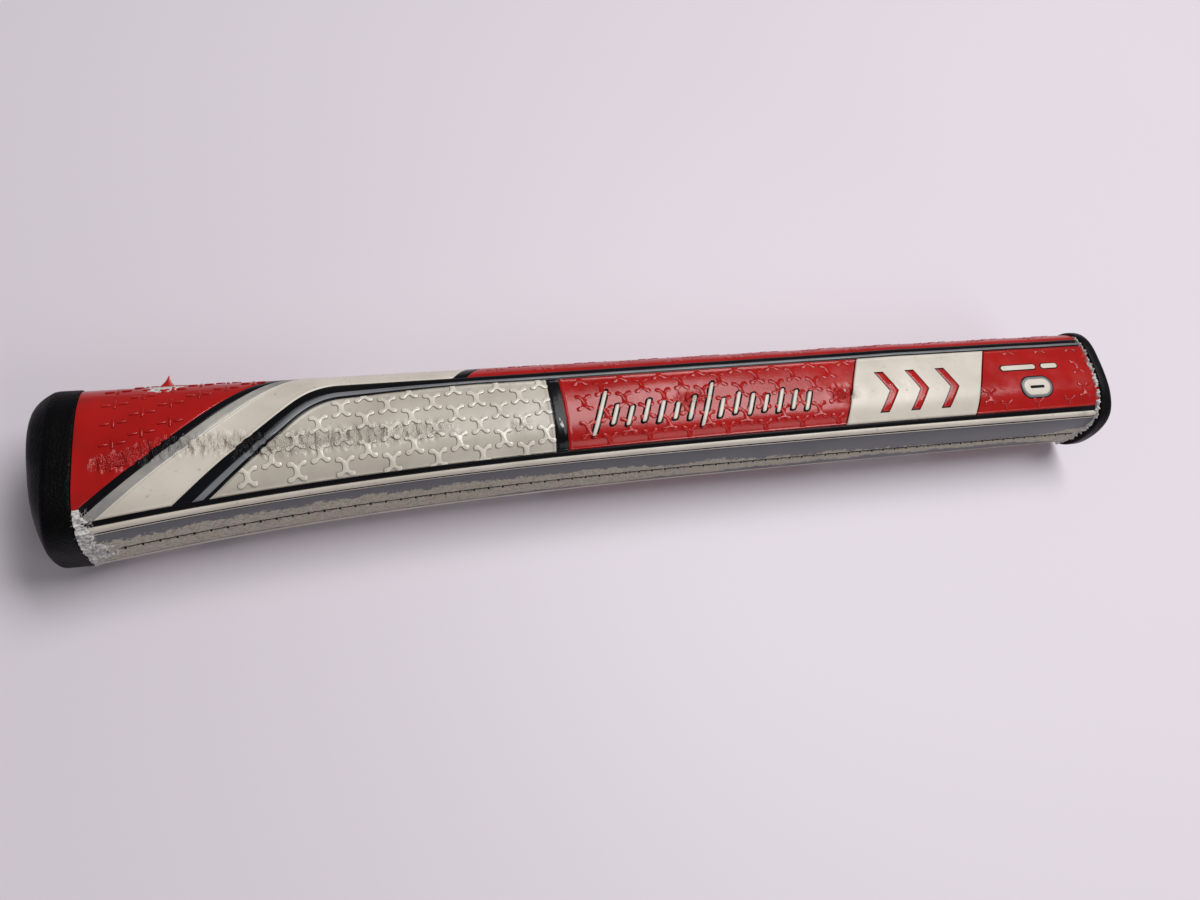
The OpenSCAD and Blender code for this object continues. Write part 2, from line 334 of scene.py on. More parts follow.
def rubbed_grey(name):
    """Grey spine print, rubbed through to a matt cream nap beside the seam."""
    s = Shader(name)
    margin = s.wear()["X"]
    ragged_edge = s.ramp(s.noise(520, 5.0, 0.7), 0.25, 0.75, (-1.5, 1.5))
    broad = s.ramp(s.noise(60, 2.0), 0.3, 0.7, (-0.9, 0.9))
    bare = s.ramp(s.math("ADD", margin, s.math("ADD", ragged_edge, broad)), -0.15, 0.35)
    grey = s.mix(s.noise(120), (0.078, 0.081, 0.091), (0.113, 0.117, 0.13))
    nap = s.noise(1500, 4.0, 0.65)
    cream = s.mix(s.ramp(nap, 0.3, 0.6), (0.27, 0.245, 0.195), (0.52, 0.475, 0.39))
    flecks = s.ramp(s.noise(900, 3.0, 0.6), 0.6, 0.68)
    cream = s.mix(s.times(flecks, 0.5), cream, (0.16, 0.15, 0.13))
    normal = s.bump(nap, s.times(bare, 0.8), 0.0002)
    normal = s.bump(s.noise(2600, 2.0), 0.3, 0.00004, normal)
    return s.finish(s.mix(bare, grey, cream), s.ramp(bare, 0, 1, (0.36, 0.85)), normal)


def rubber(name, base, dusty, grain=1500, depth=0.00018, rough=(0.36, 0.55), shine=0.1):
    """Moulded rubber with a stippled grain and dust in it."""
    s = Shader(name)
    dust = s.ramp(s.noise(420, 5.0, 0.7), 0.56, 0.78)
    broad = s.noise(160, 3.0)
    normal = s.bump(broad, 0.3, 0.0002, s.bump(s.cells(grain), 0.7, depth))
    return s.finish(s.mix(dust, base, dusty), s.ramp(broad, 0.3, 0.7, rough), normal, shine)


def fibres(name, dark, light, scale=2200, depth=0.00025, stretch=None):
    """Felt, tape and thread: fine matt fibres."""
    s = Shader(name)
    strands = s.noise(scale, 4.0, 0.7, stretch)
    color = s.mix(s.ramp(strands, 0.3, 0.7), dark, light)
    return s.finish(color, s.ramp(strands, 0.2, 0.8, (0.75, 0.95)), s.bump(strands, 0.9, depth))


def foam(name):
    """Black foam with fine open cells, painted darker in the cells' pits as shade."""
    s = Shader(name)
    pit_depth_and_shade = s.ramp(s.cells(1300.0), 0.1, 0.6)
    # Painted shade: the colour darkens in the cells' pits, where the bump sinks.
    color = s.mix(pit_depth_and_shade, (0.012, 0.012, 0.013), (0.035, 0.035, 0.037))
    return s.finish(color, s.ramp(s.noise(300), 0.3, 0.7, (0.8, 0.95)), s.bump(pit_depth_and_shade, 0.8, 0.0003))


def moulded(name, base, light):
    """Hard moulded plastic with faint scuffs."""
    s = Shader(name)
    scratches = s.noise(700, 4.0, 0.6, stretch=(1.0, 0.25, 1.0))
    color = s.mix(s.ramp(scratches, 0.5, 0.75), base, light)
    normal = s.bump(s.noise(1800), 0.2, 0.00005)
    return s.finish(color, s.ramp(scratches, 0.3, 0.7, (0.3, 0.5)), normal)


def paper(name):
    """Pale paper with a faint cloud in it."""
    s = Shader(name)
    cloud = s.noise(3, 2.0)
    color = s.mix(cloud, (0.705, 0.643, 0.705), (0.745, 0.683, 0.745))
    return s.finish(color, s.ramp(cloud, 0.3, 0.7, (0.42, 0.5)), shine=0.35)


RED = printed("red_print", (0.34, 0.005, 0.004), (0.42, 0.008, 0.006), gloss=(0.14, 0.26),
              shine=0.3, grime=(0.14, 0.012, 0.01))
CREAM = printed("cream_print", (0.57, 0.515, 0.435), (0.68, 0.62, 0.535),
                gloss=(0.26, 0.4), shine=0.45, dirt=0.7)
PANEL_CREAM = printed("panel_cream", (0.41, 0.37, 0.31), (0.54, 0.495, 0.42),
                      gloss=(0.24, 0.36), shine=0.5, grime=(0.2, 0.18, 0.15), dirt=0.8)
# Lit and shaded copies of the panel cream for the raised crosses: the tops are painted lighter as a
# highlight, and the walls are painted darker as shade.
CROSS_TOP_HIGHLIGHT = printed("cross_top_highlight", (0.57, 0.52, 0.44), (0.7, 0.65, 0.565), gloss=(0.18, 0.3),
                    shine=0.6, grime=(0.26, 0.23, 0.19), dirt=0.7)
CROSS_WALL_SHADE = printed("cross_wall_shade", (0.24, 0.215, 0.175), (0.36, 0.33, 0.275),
                     gloss=(0.2, 0.3), shine=0.5, grime=(0.1, 0.09, 0.07), dirt=0.9)
# A darker copy of the red for the walls of raised crosses and marks: painted shade.
RED_WALL_SHADE = printed("mark_wall_shade", (0.16, 0.003, 0.003), (0.22, 0.005, 0.004), gloss=(0.14, 0.24),
                   shine=0.4, grime=(0.07, 0.006, 0.005))
BLACK = printed("black_print", (0.002, 0.002, 0.003), (0.005, 0.005, 0.007),
                gloss=(0.14, 0.24), shine=0.14, grime=(0.03, 0.03, 0.03))
GREY = printed("grey_print", (0.13, 0.135, 0.145), (0.2, 0.205, 0.215),
               gloss=(0.25, 0.4), shine=0.3, dirt=0.6)
WORN = printed("worn_strip_print", (0.2, 0.197, 0.19), (0.47, 0.445, 0.395),
               gloss=(0.3, 0.45), grime=(0.13, 0.13, 0.135), dirt=0.9)
RIDGE = printed("ridge_print", (0.60, 0.57, 0.50), (0.70, 0.67, 0.60),
                gloss=(0.3, 0.4), shine=0.4, dirt=0.4)
SPINE = rubbed_grey("spine_grey")
CAP_RUBBER = rubber("cap_rubber", (0.001, 0.001, 0.0014), (0.006, 0.006, 0.0065), grain=2500,
                    depth=0.00014, rough=(0.4, 0.55), shine=0.08)
RING_RUBBER = rubber("ring_rubber", (0.002, 0.002, 0.0025), (0.007, 0.007, 0.008),
                     grain=2400, depth=0.00004, rough=(0.32, 0.5))
WASHER_RUBBER = rubber("washer_rubber", (0.006, 0.006, 0.006), (0.02, 0.02, 0.02),
                       grain=3000, depth=0.00003, rough=(0.4, 0.55))
NAP = fibres("torn_backing", (0.3, 0.28, 0.26), (0.95, 0.93, 0.91), scale=1300, depth=0.0006)
FELT = fibres("felt", (0.45, 0.42, 0.36), (0.72, 0.7, 0.64))
TAPE = fibres("woven_tape", (0.4, 0.38, 0.33), (0.62, 0.6, 0.54),
              scale=1600, depth=0.0001, stretch=(0.2, 1.0, 1.0))
# Dark thread for the stitches, also laid over the seam's slit as painted shade.
THREAD_AND_SLIT_SHADE = fibres("seam_thread_and_slit_shade", (0.004, 0.004, 0.005), (0.02, 0.02, 0.022), scale=5000,
                depth=0.00006, stretch=(1.0, 1.0, 0.3))
FOAM = foam("foam_cells")
PORT_PLASTIC = moulded("port_plastic", (0.012, 0.012, 0.013), (0.04, 0.04, 0.042))
PLUG_PLASTIC = moulded("plug_plastic", (0.02, 0.02, 0.022), (0.06, 0.06, 0.065))


# ---- Mesh making ----

SHARP_ANGLE = math.radians(75)
WELD = 0.002


def full_turn(count):
    return np.linspace(0, 2 * np.pi, count, endpoint=False)


def band(a, b, n):
    """Faces between two rings of n points, the first from a and the second from b."""
    return [(a + i, a + (i + 1) % n, b + (i + 1) % n, b + i) for i in range(n)]


def sleeve(rings):
    """Rings of equal counts joined one to the next, as (points, faces)."""
    n = len(rings[0])
    faces = []
    for r in range(0, (len(rings) - 1) * n, n):
        faces += band(r, r + n, n)
    return np.concatenate(rings), faces


def shell(rings):
    """A sleeve with both ends closed."""
    points, faces = sleeve(rings)
    n = len(rings[0])
    return points, faces + [tuple(range(n)), tuple(range(len(points) - n, len(points)))]


def looped(rings):
    """A sleeve closed on itself, last ring to first: a solid with a hole through it."""
    points, faces = sleeve(rings)
    n = len(rings[0])
    return points, faces + band(len(points) - n, 0, n)


def rim_of(rows, cols):
    """The points round the edge of a grid laid down row by row."""
    edge = [(0, c) for c in range(cols)] + [(r, cols - 1) for r in range(1, rows)]
    edge += [(rows - 1, c) for c in range(cols - 2, -1, -1)] + [(r, 0) for r in range(rows - 2, 0, -1)]
    return [r * cols + c for r, c in edge]


class Mesh:
    """Gathers points over the wrap (x, d, height) and faces, then makes one piece."""

    def __init__(self):
        self.places, self.faces, self.slots = [], [], []
        self.count = 0

    def points(self, x, d, h):
        """Adds points and returns the number of the first."""
        self.places.append(np.array([np.ravel(a) for a in np.broadcast_arrays(x, d, h)], float))
        start = self.count
        self.count += self.places[-1].shape[1]
        return start

    def face(self, corners, slot=0):
        self.faces.append(tuple(corners))
        self.slots.append(slot)

    def join_rings(self, a, b, n, slot=0):
        for corners in band(a, b, n):
            self.face(corners, slot)

    def mirror(self):
        """Adds the same again on the other side of the seam."""
        first = self.count
        for x, d, h in list(self.places):
            self.points(x, -d, h)
        self.faces += [tuple(i + first for i in face) for face in self.faces]
        self.slots *= 2

    def grid(self, start, rows, cols, slot=0):
        """Faces over points laid down row by row."""
        for a in range(start, start + (rows - 1) * cols, cols):
            for i in range(a, a + cols - 1):
                self.face((i, i + 1, i + cols + 1, i + cols), slot)

    def build(self, name, materials, side=1, **how):
        x, d, h = np.concatenate(self.places, axis=1)
        d = side * d
        make_piece(name, place(x, d, h + terrain(x, d)), self.faces, materials, self.slots,
                   wear=wear_values(x, d), **how)


def add_object(name, data):
    thing = bpy.data.objects.new(name, data)
    bpy.context.scene.collection.objects.link(thing)
    return thing


def make_piece(name, points, faces, materials, slots=None, wear=None, body="grip", slot="skin",
               stands_for=(), weld=None):
    mesh = bpy.data.meshes.new(name)
    mesh.from_pydata([tuple(p) for p in np.asarray(points) * MM], [], faces)
    for m in materials:
        mesh.materials.append(m)
    if slots is not None:
        mesh.polygons.foreach_set("material_index", np.array(slots, dtype=np.int32))
    if wear is not None:
        layer = mesh.attributes.new("wear", "FLOAT_VECTOR", "POINT")
        layer.data.foreach_set("vector", np.ravel(wear).astype(np.float32))
    bm = bmesh.new()
    bm.from_mesh(mesh)
    if weld:
        bmesh.ops.remove_doubles(bm, verts=bm.verts, dist=weld * MM)
        bmesh.ops.dissolve_degenerate(bm, edges=bm.edges, dist=weld * MM)
    bmesh.ops.recalc_face_normals(bm, faces=bm.faces)
    bm.to_mesh(mesh)
    bm.free()
    mesh.polygons.foreach_set("use_smooth", np.full(len(mesh.polygons), True))
    mesh.set_sharp_from_angle(angle=SHARP_ANGLE)
    piece = add_object(name, mesh)
    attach(piece, body)
    if stands_for:
        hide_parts(*stands_for)


# ---- The printed skin ----

def diagonal(line, x):
    x0, d0, slope = line
    return d0 + slope * (x - x0)


def borders(x):
    """Distances from the seam of every printed border of the side, seam first, at each x."""
    top = front(x)
    wider = lerp(*TRIM_SCALE, ease((TRIM_WIDER_FROM - x) / TRIM_WIDER_OVER))
    trim = soft_min(diagonal(DIAGONAL_2, x), top - TRIM_FROM_FRONT, TRIM_BEND)
    worn_lo = diagonal(DIAGONAL_1, x) - WORN_STRIP_W
    lines = [
        PANEL_START + 0 * x,
        *(trim - w * wider for w in TRIM_W), trim,
        np.maximum(trim, diagonal(DIVIDER, x - DIVIDER_W)),
        np.maximum(trim, diagonal(DIVIDER, x)),
        worn_lo, worn_lo + RIDGE_W, worn_lo + WORN_STRIP_W, worn_lo + WORN_STRIP_W + BAND_1_W, top,
    ]
    lines = [np.clip(line, PANEL_START, top) for line in lines]
    for i in range(1, len(lines)):
        lines[i] = np.maximum(lines[i], lines[i - 1])
    return lines


PANEL_RIM = 0.2
# Between each pair of borders: ink, inner rows, how far the ink stands out, raised rims
SIDE_BANDS = (
    ("panel", 24, 0.0, PANEL_RIM), ("black", 0, 0.0, 0.0), ("grey", 1, 0.03, 0.0), ("black", 2, 0.0, 0.0),
    ("red", 8, 0.0, 0.0), ("black", 2, 0.0, 0.0), ("cream", 12, 0.0, 0.12), ("ridge", 0, 0.12, 0.0),
    ("worn", 2, 0.02, 0.0), ("black", 2, 0.0, 0.0), ("red", 30, 0.0, 0.0),
)
SIDE_INKS = {"red": 0, "cream": 1, "black": 2, "grey": 3, "worn": 4, "ridge": 5, "panel": 6}
# Stretches of x that need closer columns, and the columns' steps
CRUMPLED = ((-254, -181), (-127, -117), (-87, -73))
SIDE_STEP, SPINE_STEP = 0.52, 0.42
PRINT_X0, PRINT_X1 = X_BUTT + 0.05, X_MOUTH - 0.05
EDGE_ROWS, RIM_ROWS = (0.16, 0.4), (0.12, 0.26, 0.42, 0.58, 0.8)
GROOVE_DEPTH, GROOVE_W, RIM_AT, RIM_W = 0.12, 0.2, 0.42, 0.17
BAR_PRESS = 0.13
FAR = 9.0


def band_rows(low, high, top, rows, rise, rim):
    """Row distances across one band and their heights: grooved and rimmed along its borders.

    At the front, top, the other side's print carries on, so there is no border there."""
    width = high - low
    edge = RIM_ROWS if rim else EDGE_ROWS
    squeeze = np.minimum(1, width / (2.4 * edge[-1]))
    near = [e * squeeze for e in edge]
    inner = [lerp(near[-1], width - near[-1], (k + 1) / (rows + 1)) for k in range(rows)]
    offsets = [0 * width] + near + inner + [width - e for e in reversed(near)]
    heights = []
    for k, o in enumerate(offsets):
        gap = np.minimum(np.where(low < top - 1e-3, o, FAR), np.where(high < top - 1e-3, width - o, FAR))
        heights.append(rise * squeeze * (k > 0) - GROOVE_DEPTH * bell(gap, 0, GROOVE_W)
                       + rim * squeeze * bell(gap, RIM_AT, RIM_W))
    return [low + o for o in offsets], heights


def columns(x0, x1, step, keep=(), fine=()):
    """Stations along x: even steps, closer in the fine stretches, with the kept ones exact."""
    xs, x = [], x0
    while x < x1 - step / 4:
        if all(abs(x - k) > 0.11 for k in keep):
            xs.append(x)
        x += step / 2 if any(a < x < b for a, b in fine) else step
    return np.array(sorted(xs + [x1] + list(keep)))


def closed_sheet(mesh, xs, rows, heights, slot_of):
    """A thick sheet over rows of distances: outer face, a coarser inner face and the edges.

    slot_of gives the outer face's ink by row and x; the rest is slot 1, cream."""
    n, r = len(xs), len(rows)
    d, h = np.array(rows), np.array(heights)
    grid_x = np.broadcast_to(xs, d.shape)
    outer = mesh.points(grid_x, d, h)
    kept = sorted(set(list(range(0, r, 9)) + [r - 1]))
    flat = -SKIN_T - terrain(grid_x[kept], d[kept])
    inner = mesh.points(grid_x[kept], d[kept], flat)
    at = lambda row, col: outer + row * n + col
    under = lambda k, col: inner + k * n + col
    mesh.grid(inner, len(kept), n, 1)
    for row in range(r - 1):
        for col in range(n - 1):
            if max(d[row + 1, col] - d[row, col], d[row + 1, col + 1] - d[row, col + 1]) > 1e-4:
                corners = (at(row, col), at(row, col + 1), at(row + 1, col + 1), at(row + 1, col))
                mesh.face(corners, slot_of(row, (xs[col] + xs[col + 1]) / 2))
    for k in range(len(kept) - 1):
        for col in (0, n - 1):
            rim = [at(row, col) for row in range(kept[k], kept[k + 1] + 1)]
            mesh.face(rim + [under(k + 1, col), under(k, col)], 1)
    for row, k in ((0, 0), (r - 1, len(kept) - 1)):
        for col in range(n - 1):
            mesh.face((at(row, col), at(row, col + 1), under(k, col + 1), under(k, col)), 1)


def side_print(name, side):
    near_bar = [CROSS_BAR[0] - v for v in (0, *RIM_ROWS)] + [CROSS_BAR[1] + v for v in (0, *RIM_ROWS)]
    xs = columns(PRINT_X0, PRINT_X1, SIDE_STEP, near_bar, CRUMPLED)
    lines = borders(xs)
    rows, heights, inks = [], [], []
    for k, (ink, count, rise, rim) in enumerate(SIDE_BANDS):
        d, h = band_rows(lines[k], lines[k + 1], lines[-1], count, rise, rim)
        rows += d
        heights += h
        inks += [ink] * len(d)
    rows.append(lines[-1])
    heights.append(0 * xs)

    def slot_of(row, x):
        ink = inks[row]
        if ink == "panel":
            ink = "panel" if x < CROSS_BAR[0] else "black" if x < CROSS_BAR[1] else "red"
        return SIDE_INKS[ink]

    mesh = Mesh()
    off_bar = np.minimum(np.abs(xs - CROSS_BAR[0]), np.abs(xs - CROSS_BAR[1]))
    off_bar = np.where((xs > CROSS_BAR[0]) & (xs < CROSS_BAR[1]), FAR, off_bar)
    pressed = BAR_PRESS * (bell(off_bar, RIM_AT, RIM_W) - bell(off_bar, 0, GROOVE_W))
    groove = [pressed if ink == "panel" else 0 * xs for ink in inks] + [0 * xs]
    heights = [h + g for h, g in zip(heights, groove)]
    closed_sheet(mesh, xs, rows, heights, slot_of)
    mesh.build(name, [RED, CREAM, BLACK, GREY, WORN, RIDGE, PANEL_CREAM], side, weld=WELD,
               stands_for=["wrap_skin"])


def spine_print(name):
    near = [SLIT, 0.2, 0.28, SLIT_EDGE, 0.5, 0.68, 0.9, 1.2, 1.55, 2.0, 2.6, 3.3, 4.1, 5.0, 5.9, 6.6, 7.2]
    near += [7.45, GREY_END, 7.72, THIN_END, 8.05, GROOVE_END]
    near += [8.4, 8.65, 9.07, 9.5, 9.75, BEAD_END, 10.05, 10.3, 10.75, 11.0, PANEL_START]
    xs = columns(PRINT_X0, PRINT_X1, SPINE_STEP)
    dips = {GREY_END: 0.1, THIN_END: 0.1, 8.05: 0.14, GROOVE_END: 0.1, BEAD_END: 0.13,
            PANEL_START: GROOVE_DEPTH}

    def slot_after(d):
        # Painted shade: the slit's walls out to SLIT_EDGE take the dark thread finish.
        if d < SLIT_EDGE:
            return 3
        if d < GREY_END:
            return 0
        if d < THIN_END or GROOVE_END <= d < BEAD_END:
            return 1
        return 2

    for side, label in ((1, "up"), (-1, "down")):
        mesh = Mesh()
        rows = [d + 0 * xs for d in near]
        heights = [-dips.get(d, 0) + 0 * xs for d in near]
        closed_sheet(mesh, xs, rows, heights, lambda row, x: slot_after(near[row]))
        mesh.build(name + label, [SPINE, CREAM, BLACK, THREAD_AND_SLIT_SHADE], side, weld=WELD,
                   stands_for=["wrap_skin"])


side_print("side_print_up", 1)
side_print("side_print_down", -1)
spine_print("spine_print_")


# ---- Shapes raised on the wrap ----

def round_off(p):
    """Corner cutting on a closed outline."""
    q = np.roll(p, -1, axis=0)
    return np.stack([0.75 * p + 0.25 * q, 0.25 * p + 0.75 * q], axis=1).reshape(-1, 2)


def grown(outline, by):
    """The outline moved outward by a distance."""
    p = np.asarray(outline)
    along = np.roll(p, -1, axis=0) - np.roll(p, 1, axis=0)
    along /= np.linalg.norm(along, axis=1, keepdims=True) + 1e-9
    return p + by * np.column_stack([along[:, 1], -along[:, 0]])


def four_fold(quarter):
    """A whole outline from its first quarter, counted from the x side to the d side."""
    q = np.array(quarter, float)
    inner = q[1:-1]
    return np.concatenate([
        q[:1], inner, q[-1:], (inner * (-1, 1))[::-1], q[:1] * (-1, 1),
        inner * (-1, -1), q[-1:] * (1, -1), (inner * (1, -1))[::-1]])


CROSS = round_off(four_fold([
    (0.58, 0.0), (0.62, 0.5), (0.82, 0.95), (1.2, 1.12), (1.72, 1.12), (2.04, 1.42), (2.02, 1.92),
    (1.7, 2.2), (1.15, 2.2), (0.76, 1.96), (0.4, 1.5), (0.0, 1.22)]))


def capsule(length, width, bend=6):
    half, r = length / 2 - width / 2, width / 2
    turn = np.linspace(-np.pi / 2, np.pi / 2, bend)
    right = np.column_stack([half + r * np.cos(turn), r * np.sin(turn)])
    return np.concatenate([right, -right])


def stamp(mesh, centre, outline, rings, slot=0, wall=0, keep=None):
    """A raised island: the outline at each ring's growth and height, and a flat top."""
    n = len(outline)
    starts = []
    for growth, height in rings:
        p = grown(outline, growth) + centre
        if keep:
            p = keep(p)
        starts.append(mesh.points(p[:, 0], p[:, 1], height))
    for a, b in zip(starts, starts[1:-1]):
        mesh.join_rings(a, b, n, wall)
    mesh.join_rings(starts[-2], starts[-1], n, slot)
    mesh.face([starts[-1] + i for i in range(n)], slot)


def within_panel(margin):
    """Pulls points of an outline back inside the side panel."""
    def keep(p):
        top = borders(p[:, 0])[1]
        d = np.minimum(np.maximum(p[:, 1], PANEL_START + margin), top - margin)
        return np.column_stack([p[:, 0], d])
    return keep


# Printed decorations on the red panel: x from, x to, d from, d to
BARS_AT = (-147.5, -88.0, 13.2, 26.6)
LABEL_AT = (-35.0, -12.5, 14.0, 26.5)
PILL_AT, LINE_AT = (-23.6, 17.6), (-23.2, 23.5)
# The sash leans: its ends in x at the middle of the panel
SASH_AT = (-78.6, -40.6)
SASH_MIDDLE, SASH_EDGE = 19.3, 0.5
CHEVRON_W, CHEVRON_REACH = 3.0, 5.6


def sash_lean(d):
    return 0.38 * (d - SASH_MIDDLE) + 0.006 * (d - SASH_MIDDLE) ** 2


CROSS_PITCH, CROSS_ROW = 10.0, 3.45
CROSS_X0, CROSS_D0 = -188.5, 15.9
CROSS_FROM_EDGE = 0.28
# Toward the butt the rows of crosses climb a little
CROSS_CLIMB, CROSS_CLIMB_FROM = 0.04, -165


def cross_places():
    for row in range(-1, 5):
        for k in range(-6, 20):
            x = CROSS_X0 + CROSS_PITCH * k + (CROSS_PITCH / 2 if row % 2 else 0)
            yield x, CROSS_D0 + CROSS_ROW * row + CROSS_CLIMB * max(0.0, CROSS_CLIMB_FROM - x)


def covered(x, d):
    """Whether printed decorations leave no room for a cross."""
    along = x - sash_lean(d)
    by_sash = SASH_AT[0] - 2.4 < along < SASH_AT[1] + 2.4
    return by_sash or (LABEL_AT[0] < x < LABEL_AT[1] and LABEL_AT[2] < d < LABEL_AT[3])


# Raised crosses: the tops take the ink and the walls take the wall finish, which is a darker copy painted
# as shade. On the cream panel the tops are a lighter copy painted as a highlight.
def panel_crosses(name, x0, x1, rings, ink, wall):
    mesh = Mesh()
    for x, d in cross_places():
        top = float(borders(np.array([x]))[1][0])
        inside = x0 + 2 < x < x1 - 1.9 and PANEL_START - 0.6 < d < top + 0.6
        if not inside or covered(x, d):
            continue
        stamp(mesh, (x, d), CROSS, rings, wall=1, keep=within_panel(CROSS_FROM_EDGE))
    mesh.mirror()
    mesh.build(name, [ink, wall])


panel_crosses("panel_crosses", X_BUTT, CROSS_BAR[0],
              ((0.1, -0.05), (0.07, 0.12), (0.0, 0.23), (-0.09, 0.28)), CROSS_TOP_HIGHLIGHT, CROSS_WALL_SHADE)
panel_crosses("red_crosses", CROSS_BAR[1], X_MOUTH,
              ((0.08, -0.03), (0.03, 0.08), (-0.06, 0.13)), RED, RED_WALL_SHADE)


MARK_PITCH, MARK_ROW, MARK_SHIFT = 5.5, 5.05, 1.62
MARK_X0, MARK_D0 = -255.0, 30.6
BUTT_MARK_H, FRONT_MARK_H = 0.24, 0.08


def grip_marks(name):
    """Small raised marks over the red of the butt and the front: a bar between two dashes."""
    mesh = Mesh()
    dash, bar = capsule(1.9, 0.52), capsule(2.4, 0.56)[:, ::-1][::-1]
    shapes = ((dash, -1.65), (bar, 0.0), (dash, 1.65))
    for j in range(1, 46):
        x = MARK_X0 + MARK_PITCH * j
        top = float(front(x))
        lines = [float(v[0]) for v in borders(np.array([x]))]
        shift = (MARK_SHIFT * j) % MARK_ROW
        for k in range(-6, 6):
            d = MARK_D0 + shift + MARK_ROW * k
            on_butt = lines[10] + 1.5 < d < top - 2
            on_front = lines[4] + 1.2 < d < min(lines[5] - 2.2, top - 2) and x < X_MOUTH - 4
            if not (on_butt or on_front):
                continue
            tall = BUTT_MARK_H if on_butt and d < top - 6 else FRONT_MARK_H
            rings = ((0.08, -0.03), (0.03, 0.6 * tall), (-0.05, tall))
            for outline, dx in shapes:
                # The marks' walls take the darker red, painted as shade.
                stamp(mesh, (x + dx, d), outline, rings, wall=1)
    mesh.mirror()
    mesh.build(name, [RED, RED_WALL_SHADE])


grip_marks("grip_marks")


# ---- Printed decorations: thin ink patches over the red panel ----

def panel_rim(x, d):
    """Height of the panel's raised rims, for ink that lies over them."""
    gap = np.minimum(d - PANEL_START, borders(x)[1] - d)
    return PANEL_RIM * bell(gap, RIM_AT, RIM_W)


def patch(mesh, left, right, d0, d1, across, along, height, slot=0, ends=None, over=None):
    """A strip of ink from left(d) to right(d), with its rim turned down into the skin."""
    v = np.linspace(0, 1, along + 1)
    d = lerp(d0, d1, v)
    xl, xr = left(d), right(d)
    if ends is not None:
        mid, half = (xl + xr) / 2, (xr - xl) / 2 * ends(v)
        xl, xr = mid - half, mid + half
    u = np.linspace(0, 1, across + 1)
    x = lerp(xl[:, None], xr[:, None], u[None, :])
    dd = np.repeat(d[:, None], across + 1, axis=1)
    h = np.full(x.shape, height) + (over(x, dd) if over else 0)
    h[[0, -1], :] = h[:, [0, -1]] = -0.05
    mesh.grid(mesh.points(x, dd, h), along + 1, across + 1, slot)


def rounded(v, part=0.16):
    near = np.clip(np.minimum(v, 1 - v) / part, 0, 1)
    return 0.2 + 0.8 * np.sqrt(1 - (1 - near) ** 2)


BAR_COUNT, BAR_LEAN, BAR_W = 15, 0.42, 1.5
TALL_BARS = (0, 7)


def speed_bars(name):
    """A row of thin leaning bars, two of them tall, each with a dark outline."""
    mesh = Mesh()
    x0, x1, d0, d1 = BARS_AT
    pitch = (x1 - x0 - 5) / (BAR_COUNT - 1)
    for i in range(BAR_COUNT):
        mid = x0 + 2.5 + pitch * i
        if i in TALL_BARS:
            low, high = d0 + 0.6, d1 - 0.8
        else:
            low, high = d0 + 2.6 + 0.5 * (i % 2), d1 - 4.2 - 0.7 * (i % 3)
        line = lambda d, off: mid + off + BAR_LEAN * (d - (d0 + d1) / 2)
        for grow, height, ink in ((0.4, 0.13, 1), (0.0, 0.19, 0)):
            patch(mesh, lambda d: line(d, -BAR_W / 2 - grow), lambda d: line(d, BAR_W / 2 + grow),
                  low - grow, high + grow, 4, 18, height, ink, ends=rounded)
    mesh.mirror()
    mesh.build(name, [CREAM, BLACK])


def sash(name):
    """A leaning cream block across the panel, with dark edges and three red chevrons."""
    mesh = Mesh()
    d0, d1 = PANEL_START + 0.05, float(borders(np.array([-60.0]))[1][0]) - 0.05
    middle, lean = SASH_MIDDLE, sash_lean
    left, right = SASH_AT
    for a, b, cells, ink in ((left - SASH_EDGE, left, 2, 1), (left, right, 140, 0),
                             (right, right + SASH_EDGE, 2, 1)):
        patch(mesh, lambda d: a + lean(d), lambda d: b + lean(d), d0, d1, cells, 48, 0.13, ink,
              over=panel_rim)
    for k in range(3):
        tip = left + 10.5 + 9.0 * k
        arrow = lambda d, off: tip + off - 0.62 * np.abs(d - middle) + 0.2 * lean(d)
        for grow, height, ink in ((0.38, 0.165, 1), (0.0, 0.2, 2)):
            patch(mesh, lambda d: arrow(d, -grow), lambda d: arrow(d, CHEVRON_W + grow),
                  middle - CHEVRON_REACH - grow, middle + CHEVRON_REACH + grow, 6, 24, height, ink)
    mesh.mirror()
    mesh.build(name, [CREAM, BLACK, RED])


def disc(mesh, centre, outline, height, slot=0):
    """A flat ink shape that follows the wrap's curve: rings drawn in toward its centre."""
    n = len(outline)
    rim = outline + centre
    last = mesh.points(rim[:, 0], rim[:, 1], -0.05)
    for scale in (0.97, 0.85, 0.68, 0.5, 0.3, 0.12):
        p = outline * scale + centre
        start = mesh.points(p[:, 0], p[:, 1], height)
        mesh.join_rings(last, start, n, slot)
        last = start
    mesh.face([last + i for i in range(n)], slot)


def label(name):
    """A plain pill under a plain line, where a size badge would be."""
    mesh = Mesh()
    for length, width, height, ink in ((10.4, 6.4, 0.11, 1), (9.8, 5.8, 0.14, 2),
                                       (8.4, 4.5, 0.18, 0), (4.6, 0.8, 0.21, 1)):
        disc(mesh, PILL_AT, capsule(length, width, 14), height, ink)
    for x, length in ((LINE_AT[0] - 4.4, 11.0), (LINE_AT[0] + 5.4, 5.2)):
        disc(mesh, (x, LINE_AT[1]), capsule(length + 0.5, 1.9, 14), 0.11, 1)
        disc(mesh, (x, LINE_AT[1]), capsule(length, 1.4, 14), 0.15, 0)
    mesh.mirror()
    mesh.build(name, [CREAM, BLACK, GREY])


speed_bars("speed_bars")
sash("sash_block")
label("plain_label")


# ---- Seam ----

